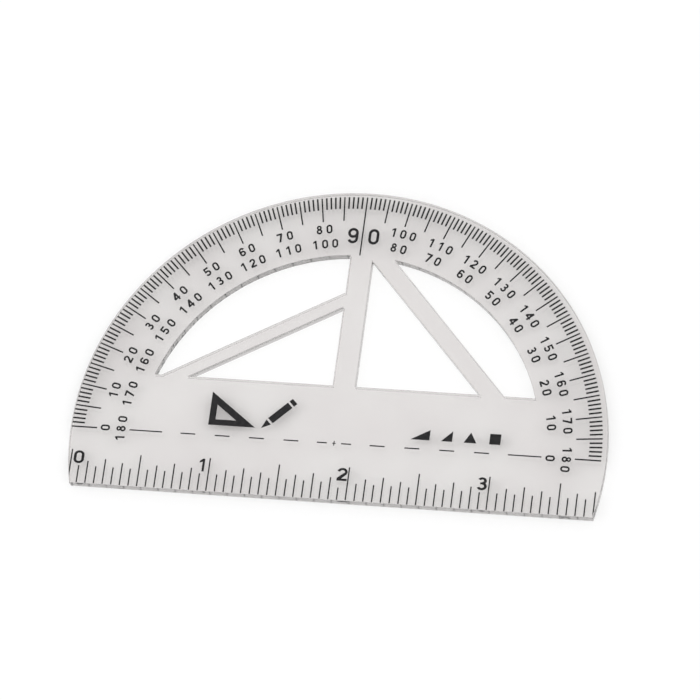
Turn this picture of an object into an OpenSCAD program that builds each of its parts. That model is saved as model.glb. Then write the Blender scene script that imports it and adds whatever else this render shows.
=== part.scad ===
// Clear school protractor: one moulded plate, a 180-degree scale read both ways, and an inch rule.
// Millimetres. The plate lies on Z = 0 with its printed face up. The scale's vertex is at X = 0, Y = 0,
// the inch rule runs along X and the 90-degree line along +Y.

/* [Plate] */
// radius of the curved outer edge
plate_radius = 48.75; // [48.5:0.05:52]
// distance from the moulding's centre down to the straight rule edge
rule_edge = 11.1; // [10.9:0.1:14]
// thickness of the moulded plate
thickness = 1.8; // [1:0.1:3]
// how far the moulding's centre sits to the right of the printed vertex
mould_x = 0.35; // [0:0.05:0.4]
// how far the moulding's centre sits above the printed vertex
mould_y = 0.3; // [0:0.05:0.4]

/* [Windows] */
// inner radius of the curved scale band
window_radius = 36.4; // [35:0.1:36.6]
// height of the straight base band above the moulding's centre
base_top = 10.8; // [10:0.1:12]
// width of the upright bar
bar_width = 4.1; // [3:0.1:5]
// slope of the left brace in degrees
left_angle = 30; // [28:1:32]
// width of the left brace
left_width = 2.45; // [1.5:0.05:3.5]
// height where the lower side of the left brace meets the upright bar
left_meet = 26.15; // [24:0.05:28]
// slope of the right brace in degrees
right_angle = 47.5; // [45:0.5:49]
// width of the right brace
right_width = 3.3; // [2.5:0.1:3.6]
// distance from the upright's middle to the foot of the right brace's lower side
right_foot = 24.7; // [24:0.1:25.5]
// width of the faint round moulding marks on the underside
pin_mark = 2; // [1:0.1:3]

/* [Degree scale] */
// outer end of every degree line, from the vertex
tick_outer = 48.2; // [47.5:0.05:48.25]
// inner end of the one-degree lines
tick_short = 45.9; // [45:0.1:47]
// inner end of the five-degree and ten-degree lines
tick_long = 43.5; // [43.2:0.1:44.5]
// inner end of the 90-degree line
ninety_end = 36.7; // [36.7:0.1:38]
// width of the one-degree lines
tick_width = 0.3; // [0.15:0.01:0.4]
// middle radius of the outer row of numerals
outer_row = 42; // [41.8:0.1:42.2]
// middle radius of the inner row of numerals
inner_row = 39.1; // [38.8:0.1:39.4]
// height of the degree numerals
numeral_height = 1.72; // [1.4:0.02:1.9]
// distance from one degree numeral to the next
numeral_pitch = 1.85; // [1.6:0.05:2]
// small turn of the numeral rows about the centre, clockwise below zero
numeral_turn = -0.2; // [-0.4:0.1:0.4]
// height of the two large numerals beside the 90-degree line
ninety_height = 3.05; // [2.4:0.05:3.2]

/* [Inch rule] */
// one inch
inch = 25.4; // [25.4]
// position of the rule's zero along X
rule_zero = -47.38; // [-47.5:0.02:-47.3]
// height of the rule numerals
rule_numeral = 2.45; // [1.8:0.05:2.6]
// width of the rule lines
rule_width = 0.24; // [0.15:0.01:0.4]

/* [Print] */
// thickness of the printed ink
ink = 0.04; // [0.02:0.01:0.1]

/* [Hidden] */
$fn = 96;
rule_y = mould_y - rule_edge;
bar = bar_width / 2;
CLEAR = [0.85, 0.86, 0.86, 0.45];
BLACK = [0.06, 0.06, 0.07];

// ---- flat shapes ----------------------------------------------------------------------------------------

// everything above a line through a point, the line turned by an angle
module above(x, y, angle) translate([x, y]) rotate(angle) translate([-150, 0]) square([300, 300]);

// everything below that line
module below(x, y, angle) translate([x, y]) rotate(angle) translate([-150, -300]) square([300, 300]);

// the outline of the plate, drawn in from its edge by an amount
module outline(inset = 0) translate([mould_x, mould_y]) intersection() {
    circle(r = plate_radius - inset);
    above(0, inset - rule_edge, 0);
}

// the part of the disc inside the scale band and above the base band
module opening() intersection() {
    circle(r = window_radius);
    above(0, base_top, 0);
}

module windows() translate([mould_x, mould_y]) {
    // upper left, between the band, the upright bar and the left brace
    intersection() {
        opening();
        above(-bar, 0, 90);
        above(-bar, left_meet + left_width / cos(left_angle), left_angle);
    }
    // lower left triangle
    intersection() {
        opening();
        above(-bar, 0, 90);
        below(-bar, left_meet, left_angle);
    }
    // right triangle
    intersection() {
        opening();
        below(bar, 0, 90);
        below(right_foot, base_top, -right_angle);
    }
    // outer right, between the right brace and the band
    intersection() {
        opening();
        below(bar, 0, 90);
        above(right_foot + right_width / sin(right_angle), base_top, -right_angle);
    }
}

// ---- numerals, one unit high, standing on y = 0 and centred on x = 0 ------------------------------------

module stadium(w, h) {
    translate([0, w / 2]) circle(d = w);
    translate([0, h - w / 2]) circle(d = w);
    translate([-w / 2, w / 2]) square([w, h - w]);
}

module ring(r, s) difference() {
    circle(r = r);
    circle(r = r - s);
}

module arc(r, s, from, to) intersection() {
    ring(r, s);
    polygon(concat([[0, 0]],
        [for (i = [0:8]) let (a = from + (to - from) * i / 8) 2 * r * [cos(a), sin(a)]]));
}

module digit(n, s) {
    if (n == 0) difference() {
        stadium(0.64, 1);
        translate([0, s]) stadium(0.64 - 2 * s, 1 - 2 * s);
    }
    if (n == 1) {
        translate([0.02, 0]) square([s, 1]);
        polygon([[0.03, 1], [0.06, 1], [0.06, 0.78], [-0.2, 0.68], [-0.2, 0.82]]);
    }
    if (n == 2) {
        translate([0, 0.69]) arc(0.31, s, -32, 172);
        polygon([[0.27, 0.53], [0.1, 0.62], [-0.31, 0.2], [-0.31, 0.02], [-0.1, 0.1]]);
        translate([-0.31, 0]) square([0.62, s]);
    }
    if (n == 3) {
        translate([0, 0.73]) arc(0.27, s, -92, 155);
        translate([0, 0.305]) arc(0.305, s, -158, 92);
        translate([-0.11, 0.46]) square([0.13, 0.14]);
    }
    if (n == 4) {
        translate([0.06, 0]) square([s, 1]);
        translate([-0.34, 0.21]) square([0.68, s * 0.9]);
        polygon([[-0.34, 0.24], [-0.34, 0.4], [0.06, 1], [0.15, 1], [0.15, 0.76], [-0.16, 0.24]]);
    }
    if (n == 5) {
        translate([0, 0.325]) arc(0.325, s, -155, 128);
        translate([-0.27, 0.43]) square([s * 0.9, 0.57]);
        translate([-0.27, 1 - s]) square([0.55, s]);
    }
    if (n == 6) {
        translate([0, 0.32]) ring(0.32, s);
        translate([-0.32, 0.32]) square([s, 0.36]);
        translate([0, 0.68]) arc(0.32, s, 22, 180);
    }
    if (n == 7) {
        translate([-0.31, 1 - s]) square([0.62, s]);
        polygon([[0.31, 0.95], [0.31, 0.84], [0.01, 0], [-0.19, 0], [0.1, 0.9]]);
    }
    if (n == 8) {
        translate([0, 0.74]) ring(0.26, s * 0.92);
        translate([0, 0.305]) ring(0.305, s);
    }
    if (n == 9) translate([0, 1]) rotate(180) digit(6, s);
}

function digits(v) = v < 10 ? [v] : v < 100 ? [floor(v / 10), v % 10] : [1, floor(v / 10) % 10, v % 10];

// a number standing on the arc with its tops outward, reading clockwise
module on_arc(v, angle, radius) {
    list = digits(v);
    for (i = [0:len(list) - 1])
        rotate(angle - 90 + numeral_turn - (i - (len(list) - 1) / 2) * numeral_pitch / radius * 180 / PI)
            translate([0, radius - numeral_height / 2]) scale(numeral_height) digit(list[i], 0.185);
}

module row(radius, clockwise) for (v = [0:10:180]) if (v != 90)
    on_arc(v, clockwise ? 180 - v : v, radius);

module line_at(angle, from, to, w) rotate(angle) translate([from, -w / 2]) square([to - from, w]);

// one line of the inch rule, counted in sixteenths from its zero
module rule_line(i, length, w = rule_width)
    translate([rule_zero + i * inch / 16 - w / 2, rule_y + 0.1]) square([w, length - 0.1]);

module printed() translate([0, 0, thickness]) linear_extrude(height = ink) children();

// ---- the moulded plate ----------------------------------------------------------------------------------

module plate() color(CLEAR) difference() {
    linear_extrude(height = thickness) difference() {
        outline();
        windows();
    }
    for (p = [[-30.6, 4.4], [-18.9, 1.6], [6.2, 4.3], [33.5, 4.4]])
        translate([p[0], p[1], -1]) cylinder(d = pin_mark, h = 1.06);
}

// ---- the printing, a thin layer on the plate ------------------------------------------------------------

module ticks_one_degree() color(BLACK) printed()
    for (a = [1:179]) if (a % 5 != 0) line_at(a, tick_short, tick_outer, tick_width);

module ticks_five_degree() color(BLACK) printed()
    for (a = [5:10:175]) line_at(a, tick_long, tick_outer, tick_width * 0.85);

module ticks_ten_degree() color(BLACK) printed()
    for (a = [0:10:180]) if (a != 90) line_at(a, tick_long, tick_outer, tick_width * 0.85);

module line_ninety() color(BLACK) printed() line_at(90, ninety_end, tick_outer, tick_width * 0.85);

module numerals_outer() color(BLACK) printed() row(outer_row, true);

module numerals_inner() color(BLACK) printed() row(inner_row, false);

module numerals_ninety() color(BLACK) printed() {
    translate([-1.73, 40.52 - ninety_height / 2]) scale(ninety_height) digit(9, 0.162);
    translate([2.1, 40.52 - ninety_height / 2]) scale(ninety_height) digit(0, 0.162);
}

module baseline_dashes() color(BLACK) printed() for (side = [0, 1]) mirror([side, 0]) {
    translate([1.3, -0.11]) square([1.8, 0.22]);
    for (i = [0:3]) translate([6.5 + 6.3 * i, -0.11]) square([2.7, 0.22]);
    translate([31.5, -0.11]) square([6, 0.22]);
}

module vertex_mark() color(BLACK) printed() {
    translate([-0.09, -0.45]) square([0.18, 0.9]);
    translate([-0.3, -0.08]) square([0.6, 0.16]);
}

module rule_sixteenths() color(BLACK) printed()
    for (i = [1:2:59]) rule_line(i, i == 31 ? 2.4 : 3.35);

module rule_eighths() color(BLACK) printed() for (i = [2:4:58]) rule_line(i, 4.3);

module rule_quarters() color(BLACK) printed() intersection() {
    outline(0.12);
    for (i = [4:8:60]) rule_line(i, 4.85);
}

module rule_halves() color(BLACK) printed() for (i = [8:16:56]) rule_line(i, 6.05);

module rule_inches() color(BLACK) printed() intersection() {
    outline(0.12);
    for (i = [0:16:48]) rule_line(i, 6.4);
}

module rule_numerals() color(BLACK) printed() for (i = [0:3])
    translate([rule_zero + i * inch + [1.4, -1.35, -1.15, -1.3][i], -5.82 - rule_numeral / 2])
        scale([rule_numeral * (i == 1 ? 1 : 1.22), rule_numeral]) digit(i, 0.168);

// plain drawing-tool pictograms
module set_square_mark() color(BLACK) printed() translate([-23.3, 2]) difference() {
    polygon([[0, 0], [8.6, 0], [0, 6.4]]);
    polygon([[1.2, 1.1], [5, 1.1], [1.2, 3.95]]);
}

module pencil_mark() color(BLACK) printed() translate([-13.6, 2]) {
    polygon([[0, 0], [1.7, 0.8], [0.8, 1.7]]);
    polygon([[2, 1.05], [5.2, 4.25], [4.25, 5.2], [1.05, 2]]);
    polygon([[5.45, 4.5], [6, 5.05], [5.05, 6], [4.5, 5.45]]);
}

// solid wedges of 30, 45, 60 and 90 degrees
module angle_marks() color(BLACK) printed() translate([13.7, 1.75]) {
    polygon([[0, 0], [3.4, 0], [3.4, 3.4 * tan(30)]]);
    translate([5.5, 0]) polygon([[0, 0], [2, 0], [2, 2]]);
    translate([9.6, 0]) polygon([[0, 0], [2.3, 0], [1.15, 2.3 * sin(60)]]);
    translate([14.2, 0]) square([2, 2]);
}

// ---- assembly -------------------------------------------------------------------------------------------

plate();
ticks_one_degree();
ticks_five_degree();
ticks_ten_degree();
line_ninety();
numerals_outer();
numerals_inner();
numerals_ninety();
baseline_dashes();
vertex_mark();
rule_sixteenths();
rule_eighths();
rule_quarters();
rule_halves();
rule_inches();
rule_numerals();
set_square_mark();
pencil_mark();
angle_marks();
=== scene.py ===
"""Looks for the clear school protractor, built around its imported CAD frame."""

import math

import bmesh
import bpy
import numpy as np
from mathutils import Matrix, Vector


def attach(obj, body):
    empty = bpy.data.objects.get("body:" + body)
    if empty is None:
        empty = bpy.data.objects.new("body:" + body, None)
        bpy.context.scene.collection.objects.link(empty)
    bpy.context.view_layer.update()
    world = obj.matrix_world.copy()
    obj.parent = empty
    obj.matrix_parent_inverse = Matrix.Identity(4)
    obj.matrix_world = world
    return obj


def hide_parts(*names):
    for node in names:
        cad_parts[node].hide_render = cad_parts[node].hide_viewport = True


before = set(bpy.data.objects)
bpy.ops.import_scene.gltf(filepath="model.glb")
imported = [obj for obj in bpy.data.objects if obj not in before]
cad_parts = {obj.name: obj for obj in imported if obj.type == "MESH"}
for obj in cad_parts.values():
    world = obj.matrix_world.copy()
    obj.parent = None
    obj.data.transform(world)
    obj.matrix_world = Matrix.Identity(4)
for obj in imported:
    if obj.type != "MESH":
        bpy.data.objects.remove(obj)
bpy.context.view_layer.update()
MM = 0.001

# ---- plate sizes in mm, the same as the part's source ----
MOULD = (0.35, 0.3)  # the moulding's centre, from the printed vertex
PLATE_R = 48.75
RULE_EDGE = 11.1  # from the moulding's centre down to the rule edge
THICK = 1.8
WINDOW_R = 36.4
BASE_TOP = 10.8  # from the moulding's centre up to the top of the base band
HALF_BAR = 4.1 / 2
LEFT_ANGLE = math.radians(30)
LEFT_WIDTH = 2.45
LEFT_MEET = 26.15  # where the left brace's lower side meets the upright bar
RIGHT_ANGLE = math.radians(47.5)
RIGHT_WIDTH = 3.3
RIGHT_FOOT = 24.7  # from the middle of the bar to the right brace's lower foot
PIN_MARKS = ((-30.6, 4.4), (-18.9, 1.6), (6.2, 4.3), (33.5, 4.4))
PIN_R = 1.0
PIN_BLEND = 0.12  # half the width of a round mark's soft edge

# ---- mesh details ----
ROUND = 0.1  # radius of the plate's rounded edges, mm
ARC_STEP = 0.75  # degrees from one point of an arc to the next
WELD = 2e-6  # points closer than this become one, metres
FLAT = 0.999  # least upright part of the normal of a face that counts as flat
SHARP = math.radians(38)  # edges that bend more than this stay sharp
INK_BOTTOM = THICK + 0.01  # ink points below this height are let into the plate, mm
INK_SUNK = THICK - 0.012  # height that they are let down to, mm
INK_NODES = sorted(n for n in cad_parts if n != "plate")

# ---- looks ----
PLASTIC_IOR = 1.57
INK_IOR = 1.5
CLEAR_TINT = (0.818, 0.8, 0.794, 1)
CLOUD_TINT = (0.782, 0.755, 0.752, 1)
# the walls' tint, darker than the faces': painted shade on the walls
EDGE_TINT_PAINTED_SHADE = (0.66, 0.64, 0.635, 1)
FLOOR_TINT = (0.92, 0.92, 0.92, 1)
EDGE_HAZE = 0.08  # share of the walls that scatters light
# the two stops of each ramp, as position and colour
CLOUD_TONES = ((0.35, CLOUD_TINT), (0.65, CLEAR_TINT))
# the walls' haze is dark: painted shade, on top of the real haze
EDGE_HAZE_PAINTED_SHADE_TONES = ((0.3, (0.1, 0.095, 0.095, 1)), (0.7, (0.3, 0.29, 0.29, 1)))
INK_TONES = ((0.35, (0.008, 0.008, 0.009, 1)), (0.75, (0.022, 0.021, 0.022, 1)))
# roughness: patches per metre, then the smoothest and the roughest value
FACE_ROUGH = (90.0, 0.012, 0.05)
EDGE_ROUGH = (400.0, 0.03, 0.11)
INK_ROUGH = (900.0, 0.45, 0.7)
# other noise: patches per metre, then how much fine detail
CLOUD_NOISE = (60.0, 2.0)
WAVE_NOISE = (55.0, 1.0)
HAZE_NOISE = (240.0, 3.0)
INK_NOISE = (1600.0, 2.0)
ROUGH_DETAIL = 3.0
WAVE_STRENGTH = 0.035
WAVE_HEIGHT = 0.4  # mm
PIN_HEIGHT = 0.04  # how deep the round marks look, mm
INK_GLOSS = 0.22
FLOOR_GLOSS = 0.1
FLOOR_ROUGH = 0.9
SCATTER_AFTER = 2.5  # glossy bounces after which light inside the plate is taken as scattered
SCATTER_TINT = (0.6, 0.595, 0.59, 1)
THROUGH_TINT = (0.962, 0.96, 0.957, 1)
NOISE_SPREAD = (0.3, 0.7)  # where most values of a noise texture lie

# ---- studio ----
FLOOR_SIZE = 6.0
FLOOR_Z = -0.00012
LAMP_SIZE = 0.8
LAMP_AIM = (0, 0.018, 0)
SKY = 0.95


# ---- materials ----
def tree(name):
    mat = bpy.data.materials.new(name)
    mat.use_nodes = True
    nt = mat.node_tree
    nt.nodes.clear()
    out = nt.nodes.new("ShaderNodeOutputMaterial")
    return mat, nt, out


def add(nt, kind, **values):
    """A new node, with each value set on the input or the property of that name."""
    n = nt.nodes.new(kind)
    for k, v in values.items():
        if k in n.inputs:
            n.inputs[k].default_value = v
        else:
            setattr(n, k, v)
    return n


def noise(nt, scale, detail):
    """Noise over the surface; the scale is in patches per metre."""
    coord = add(nt, "ShaderNodeTexCoord")
    texture = add(nt, "ShaderNodeTexNoise", Scale=scale, Detail=detail)
    nt.links.new(coord.outputs["Object"], texture.inputs["Vector"])
    return texture.outputs["Fac"]


def noise_range(nt, scale, lo, hi):
    """A value that wanders between lo and hi over the surface."""
    rng = add(nt, "ShaderNodeMapRange")
    rng.inputs["From Min"].default_value = NOISE_SPREAD[0]
    rng.inputs["From Max"].default_value = NOISE_SPREAD[1]
    rng.inputs["To Min"].default_value = lo
    rng.inputs["To Max"].default_value = hi
    nt.links.new(noise(nt, scale, ROUGH_DETAIL), rng.inputs["Value"])
    return rng.outputs["Result"]


def two_tone(nt, value, stops):
    """A colour that goes from the first stop's to the second's; a stop is a position and a colour."""
    ramp = add(nt, "ShaderNodeValToRGB")
    for element, (position, colour) in zip(ramp.color_ramp.elements, stops):
        element.position = position
        element.color = colour
    nt.links.new(value, ramp.inputs["Fac"])
    return ramp.outputs["Color"]


def switch(nt, value, first, second):
    """The first shader where the value is 0, the second where it is 1."""
    mix = add(nt, "ShaderNodeMixShader")
    nt.links.new(value, mix.inputs["Fac"])
    nt.links.new(first, mix.inputs[1])
    nt.links.new(second, mix.inputs[2])
    return mix.outputs["Shader"]


def pin_marks(nt):
    """1 everywhere but inside the round moulding marks on the underside, where it is 0."""
    coord = add(nt, "ShaderNodeTexCoord")
    nearest = None
    for x, y in PIN_MARKS:
        flat = add(nt, "ShaderNodeVectorMath", operation="MULTIPLY")
        flat.inputs[1].default_value = (1, 1, 0)
        nt.links.new(coord.outputs["Object"], flat.inputs[0])
        d = add(nt, "ShaderNodeVectorMath", operation="DISTANCE")
        nt.links.new(flat.outputs["Vector"], d.inputs[0])
        d.inputs[1].default_value = (x * MM, y * MM, 0)
        if nearest is None:
            nearest = d.outputs["Value"]
        else:
            low = add(nt, "ShaderNodeMath", operation="MINIMUM")
            nt.links.new(nearest, low.inputs[0])
            nt.links.new(d.outputs["Value"], low.inputs[1])
            nearest = low.outputs[0]
    edge = add(nt, "ShaderNodeMapRange", interpolation_type="SMOOTHSTEP")
    edge.inputs["From Min"].default_value = (PIN_R - PIN_BLEND) * MM
    edge.inputs["From Max"].default_value = (PIN_R + PIN_BLEND) * MM
    nt.links.new(nearest, edge.inputs["Value"])
    split = add(nt, "ShaderNodeSeparateXYZ")
    nt.links.new(coord.outputs["Object"], split.inputs["Vector"])
    upper = add(nt, "ShaderNodeMath", operation="GREATER_THAN")
    nt.links.new(split.outputs["Z"], upper.inputs[0])
    upper.inputs[1].default_value = THICK / 2 * MM
    both = add(nt, "ShaderNodeMath", operation="MAXIMUM")
    nt.links.new(edge.outputs["Result"], both.inputs[0])
    nt.links.new(upper.outputs[0], both.inputs[1])
    return both.outputs[0]


def plastic(nt, rough):
    """Plastic that refracts light, with a roughness that wanders between two values."""
    p = add(nt, "ShaderNodeBsdfPrincipled", IOR=PLASTIC_IOR)
    p.inputs["Transmission Weight"].default_value = 1.0
    nt.links.new(noise_range(nt, *rough), p.inputs["Roughness"])
    return p


def passes_light(nt, shader, out):
    """The shader, with two stand-ins for what few samples and few bounces can't trace through the plate."""
    path = add(nt, "ShaderNodeLightPath")
    # light that has been thrown to and fro inside the plate comes out as an even haze, not as black
    often = add(nt, "ShaderNodeMath", operation="GREATER_THAN")
    nt.links.new(path.outputs["Glossy Depth"], often.inputs[0])
    often.inputs[1].default_value = SCATTER_AFTER
    scattered = add(nt, "ShaderNodeBsdfDiffuse", Color=SCATTER_TINT)
    shader = switch(nt, often.outputs[0], shader, scattered.outputs["BSDF"])
    # light on its way to or from the floor goes straight through, without noise
    through = add(nt, "ShaderNodeBsdfTransparent", Color=THROUGH_TINT)
    for kind in ("Is Diffuse Ray", "Is Shadow Ray"):
        shader = switch(nt, path.outputs[kind], shader, through.outputs["BSDF"])
    nt.links.new(shader, out.inputs["Surface"])


def clear_plastic():
    """The plate's two faces: clear, faintly clouded and faintly wavy, with the round marks underneath."""
    mat, nt, out = tree("clear_polystyrene")
    p = plastic(nt, FACE_ROUGH)
    nt.links.new(two_tone(nt, noise(nt, *CLOUD_NOISE), CLOUD_TONES), p.inputs["Base Color"])
    waves = add(nt, "ShaderNodeBump", Strength=WAVE_STRENGTH, Distance=WAVE_HEIGHT * MM)
    nt.links.new(noise(nt, *WAVE_NOISE), waves.inputs["Height"])
    marks = add(nt, "ShaderNodeBump", Strength=1.0, Distance=PIN_HEIGHT * MM)
    nt.links.new(pin_marks(nt), marks.inputs["Height"])
    nt.links.new(waves.outputs["Normal"], marks.inputs["Normal"])
    nt.links.new(marks.outputs["Normal"], p.inputs["Normal"])
    passes_light(nt, p.outputs["BSDF"], out)
    return mat


def moulded_edge_with_painted_shade():
    """The plate's walls, all alike: the same plastic, less polished than the faces and a little hazy; their
    darker tint and the dark colour of their haze are painted shade.
    """
    mat, nt, out = tree("clear_polystyrene_edge_painted_shade")
    p = plastic(nt, EDGE_ROUGH)
    # painted shade: the walls get a darker tint than the faces
    p.inputs["Base Color"].default_value = EDGE_TINT_PAINTED_SHADE
    haze_with_painted_shade = add(nt, "ShaderNodeBsdfDiffuse")
    # painted shade: the haze on the walls is coloured dark
    nt.links.new(two_tone(nt, noise(nt, *HAZE_NOISE), EDGE_HAZE_PAINTED_SHADE_TONES), haze_with_painted_shade.inputs["Color"])
    mix = add(nt, "ShaderNodeMixShader", Fac=EDGE_HAZE)
    nt.links.new(p.outputs["BSDF"], mix.inputs[1])
    nt.links.new(haze_with_painted_shade.outputs["BSDF"], mix.inputs[2])
    passes_light(nt, mix.outputs["Shader"], out)
    return mat


def black_ink():
    """Printed ink: nearly matt, with a tone that varies a little."""
    mat, nt, out = tree("black_ink")
    p = add(nt, "ShaderNodeBsdfPrincipled", IOR=INK_IOR)
    p.inputs["Specular IOR Level"].default_value = INK_GLOSS
    nt.links.new(noise_range(nt, *INK_ROUGH), p.inputs["Roughness"])
    nt.links.new(two_tone(nt, noise(nt, *INK_NOISE), INK_TONES), p.inputs["Base Color"])
    nt.links.new(p.outputs["BSDF"], out.inputs["Surface"])
    return mat


def paper_floor():
    mat, nt, out = tree("studio_floor")
    p = add(nt, "ShaderNodeBsdfPrincipled", Roughness=FLOOR_ROUGH)
    p.inputs["Base Color"].default_value = FLOOR_TINT
    p.inputs["Specular IOR Level"].default_value = FLOOR_GLOSS
    nt.links.new(p.outputs["BSDF"], out.inputs["Surface"])
    return mat


CLEAR = clear_plastic()
EDGE = moulded_edge_with_painted_shade()
INK = black_ink()
FLOOR = paper_floor()


# ---- the plate ----
def on_circle(r, y):
    return math.sqrt(r * r - y * y)


def arc(r, a0, a1):
    """Points along an arc about the moulding's centre, from angle a0 to a1 in degrees."""
    n = max(2, int(abs(a1 - a0) / ARC_STEP))
    turns = [math.radians(a0 + (a1 - a0) * i / n) for i in range(n + 1)]
    return [(r * math.cos(t), r * math.sin(t)) for t in turns]


def angle_of(x, y):
    return math.degrees(math.atan2(y, x))


def line_meets_circle(x0, y0, slope, r):
    """The left one of the two points where the line y = y0 + slope (x - x0) crosses the circle."""
    c = y0 - slope * x0
    a = 1 + slope * slope
    b = 2 * slope * c
    d = c * c - r * r
    x = (-b - math.sqrt(b * b - 4 * a * d)) / (2 * a)
    return x, slope * x + c


def outlines():
    """The plate's outline and its four windows: closed loops of points, mm from the moulding's centre."""
    a = angle_of(on_circle(PLATE_R, RULE_EDGE), -RULE_EDGE)
    loops = [arc(PLATE_R, a, 180 - a)]
    window_x = on_circle(WINDOW_R, BASE_TOP)
    bar_y = on_circle(WINDOW_R, HALF_BAR)
    left_slope = math.tan(LEFT_ANGLE)
    top = LEFT_MEET + LEFT_WIDTH / math.cos(LEFT_ANGLE)
    # between the scale band and the left brace
    loops.append([(-HALF_BAR, top)]
                 + arc(WINDOW_R, angle_of(-HALF_BAR, bar_y), angle_of(-window_x, BASE_TOP))
                 + [(-HALF_BAR - (top - BASE_TOP) / left_slope, BASE_TOP)])
    # under the left brace
    left_foot = -HALF_BAR - (LEFT_MEET - BASE_TOP) / left_slope
    loops.append([(-HALF_BAR, BASE_TOP), (-HALF_BAR, LEFT_MEET), (left_foot, BASE_TOP)])
    # under the right brace
    right_slope = math.tan(RIGHT_ANGLE)
    right_top = BASE_TOP + (RIGHT_FOOT - HALF_BAR) * right_slope
    loops.append([(HALF_BAR, BASE_TOP), (RIGHT_FOOT, BASE_TOP), (HALF_BAR, right_top)])
    # between the right brace and the scale band
    foot = RIGHT_FOOT + RIGHT_WIDTH / math.sin(RIGHT_ANGLE)
    meet = line_meets_circle(foot, BASE_TOP, -right_slope, WINDOW_R)
    loops.append([(foot, BASE_TOP)] + arc(WINDOW_R, angle_of(window_x, BASE_TOP), angle_of(*meet)))
    return loops


def build_plate():
    """The plate with rounded edges, from a filled and extruded curve."""
    curve = bpy.data.curves.new("plate_outline", "CURVE")
    curve.dimensions = "2D"
    curve.fill_mode = "BOTH"
    curve.extrude = (THICK / 2 - ROUND) * MM
    curve.bevel_depth = ROUND * MM
    curve.bevel_resolution = 2
    curve.offset = -ROUND * MM
    for loop in outlines():
        s = curve.splines.new("POLY")
        s.points.add(len(loop) - 1)
        for p, (x, y) in zip(s.points, loop):
            p.co = ((x + MOULD[0]) * MM, (y + MOULD[1]) * MM, 0, 1)
        s.use_cyclic_u = True
    temp = bpy.data.objects.new("plate_outline", curve)
    bpy.context.scene.collection.objects.link(temp)
    bpy.context.view_layer.update()
    evaluated = temp.evaluated_get(bpy.context.evaluated_depsgraph_get())
    mesh = bpy.data.meshes.new_from_object(evaluated)
    bpy.data.objects.remove(temp)
    mesh.transform(Matrix.Translation((0, 0, THICK / 2 * MM)))
    mesh.materials.clear()
    mesh.materials.append(CLEAR)
    mesh.materials.append(EDGE)
    bm = bmesh.new()
    bm.from_mesh(mesh)
    bmesh.ops.remove_doubles(bm, verts=bm.verts, dist=WELD)
    bmesh.ops.recalc_face_normals(bm, faces=bm.faces)
    for f in bm.faces:
        f.smooth = abs(f.normal.z) < FLAT
        f.material_index = int(f.smooth)
    for e in bm.edges:
        e.smooth = len(e.link_faces) == 2 and e.calc_face_angle(0) < SHARP
    bm.to_mesh(mesh)
    bm.free()
    obj = bpy.data.objects.new("clear_plate", mesh)
    bpy.context.scene.collection.objects.link(obj)
    return obj


def finish_piece(obj, node):
    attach(obj, "root")
    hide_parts(node)


finish_piece(build_plate(), "plate")


# ---- the printing ----
def build_ink(node):
    """The CAD node's own shape, let a hair into the plate so that it also reads from inside the plastic."""
    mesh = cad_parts[node].data.copy()
    co = np.zeros(len(mesh.vertices) * 3, np.float32)
    mesh.vertices.foreach_get("co", co)
    co = co.reshape(-1, 3)
    low = co[:, 2] < INK_BOTTOM * MM
    co[low, 2] = INK_SUNK * MM
    mesh.vertices.foreach_set("co", co.ravel())
    mesh.materials.clear()
    mesh.materials.append(INK)
    mesh.update()
    obj = bpy.data.objects.new("print_" + node, mesh)
    bpy.context.scene.collection.objects.link(obj)
    return obj


for name in INK_NODES:
    finish_piece(build_ink(name), name)


# ---- studio ----
def floor():
    mesh = bpy.data.meshes.new("floor")
    h = FLOOR_SIZE / 2
    corners = [(-h, -h, FLOOR_Z), (h, -h, FLOOR_Z), (h, h, FLOOR_Z), (-h, h, FLOOR_Z)]
    mesh.from_pydata(corners, [], [(0, 1, 2, 3)])
    mesh.materials.append(FLOOR)
    obj = bpy.data.objects.new("floor", mesh)
    bpy.context.scene.collection.objects.link(obj)


def area_light(name, where, power):
    """A square lamp aimed at the middle of the plate."""
    data = bpy.data.lights.new(name, "AREA")
    data.shape = "SQUARE"
    data.size = LAMP_SIZE
    data.energy = power
    obj = bpy.data.objects.new(name, data)
    obj.location = where
    obj.rotation_euler = (Vector(LAMP_AIM) - Vector(where)).to_track_quat("-Z", "Y").to_euler()
    bpy.context.scene.collection.objects.link(obj)


floor()
area_light("key", (-0.95, 0.0, 1.05), 3.0)
area_light("fill", (0.9, 0.25, 1.0), 1.7)

world = bpy.data.worlds.new("studio")
world.use_nodes = True
background = world.node_tree.nodes["Background"]
background.inputs["Color"].default_value = (1, 1, 1, 1)
background.inputs["Strength"].default_value = SKY
bpy.context.scene.world = world
bpy.context.scene.view_settings.view_transform = "Standard"

# ---- camera: where the photograph was taken from, aimed at the protractor ----
EYE = Vector((0.1725, -0.3274, 0.8560))
UP = Vector((-0.0594, 0.9166, 0.3953))
AIM = Vector((0.0004, 0.0185, 0.0009))
ahead = (AIM - EYE).normalized()
right = ahead.cross(UP).normalized()
up = right.cross(ahead)
camera = bpy.data.cameras.new("camera")
camera.sensor_width = 36
camera.lens = 268
camera.clip_start = 0.01
cam = bpy.data.objects.new("camera", camera)
cam.matrix_world = Matrix((right, up, -ahead)).transposed().to_4x4()
cam.location = EYE
bpy.context.scene.collection.objects.link(cam)
bpy.context.scene.camera = cam
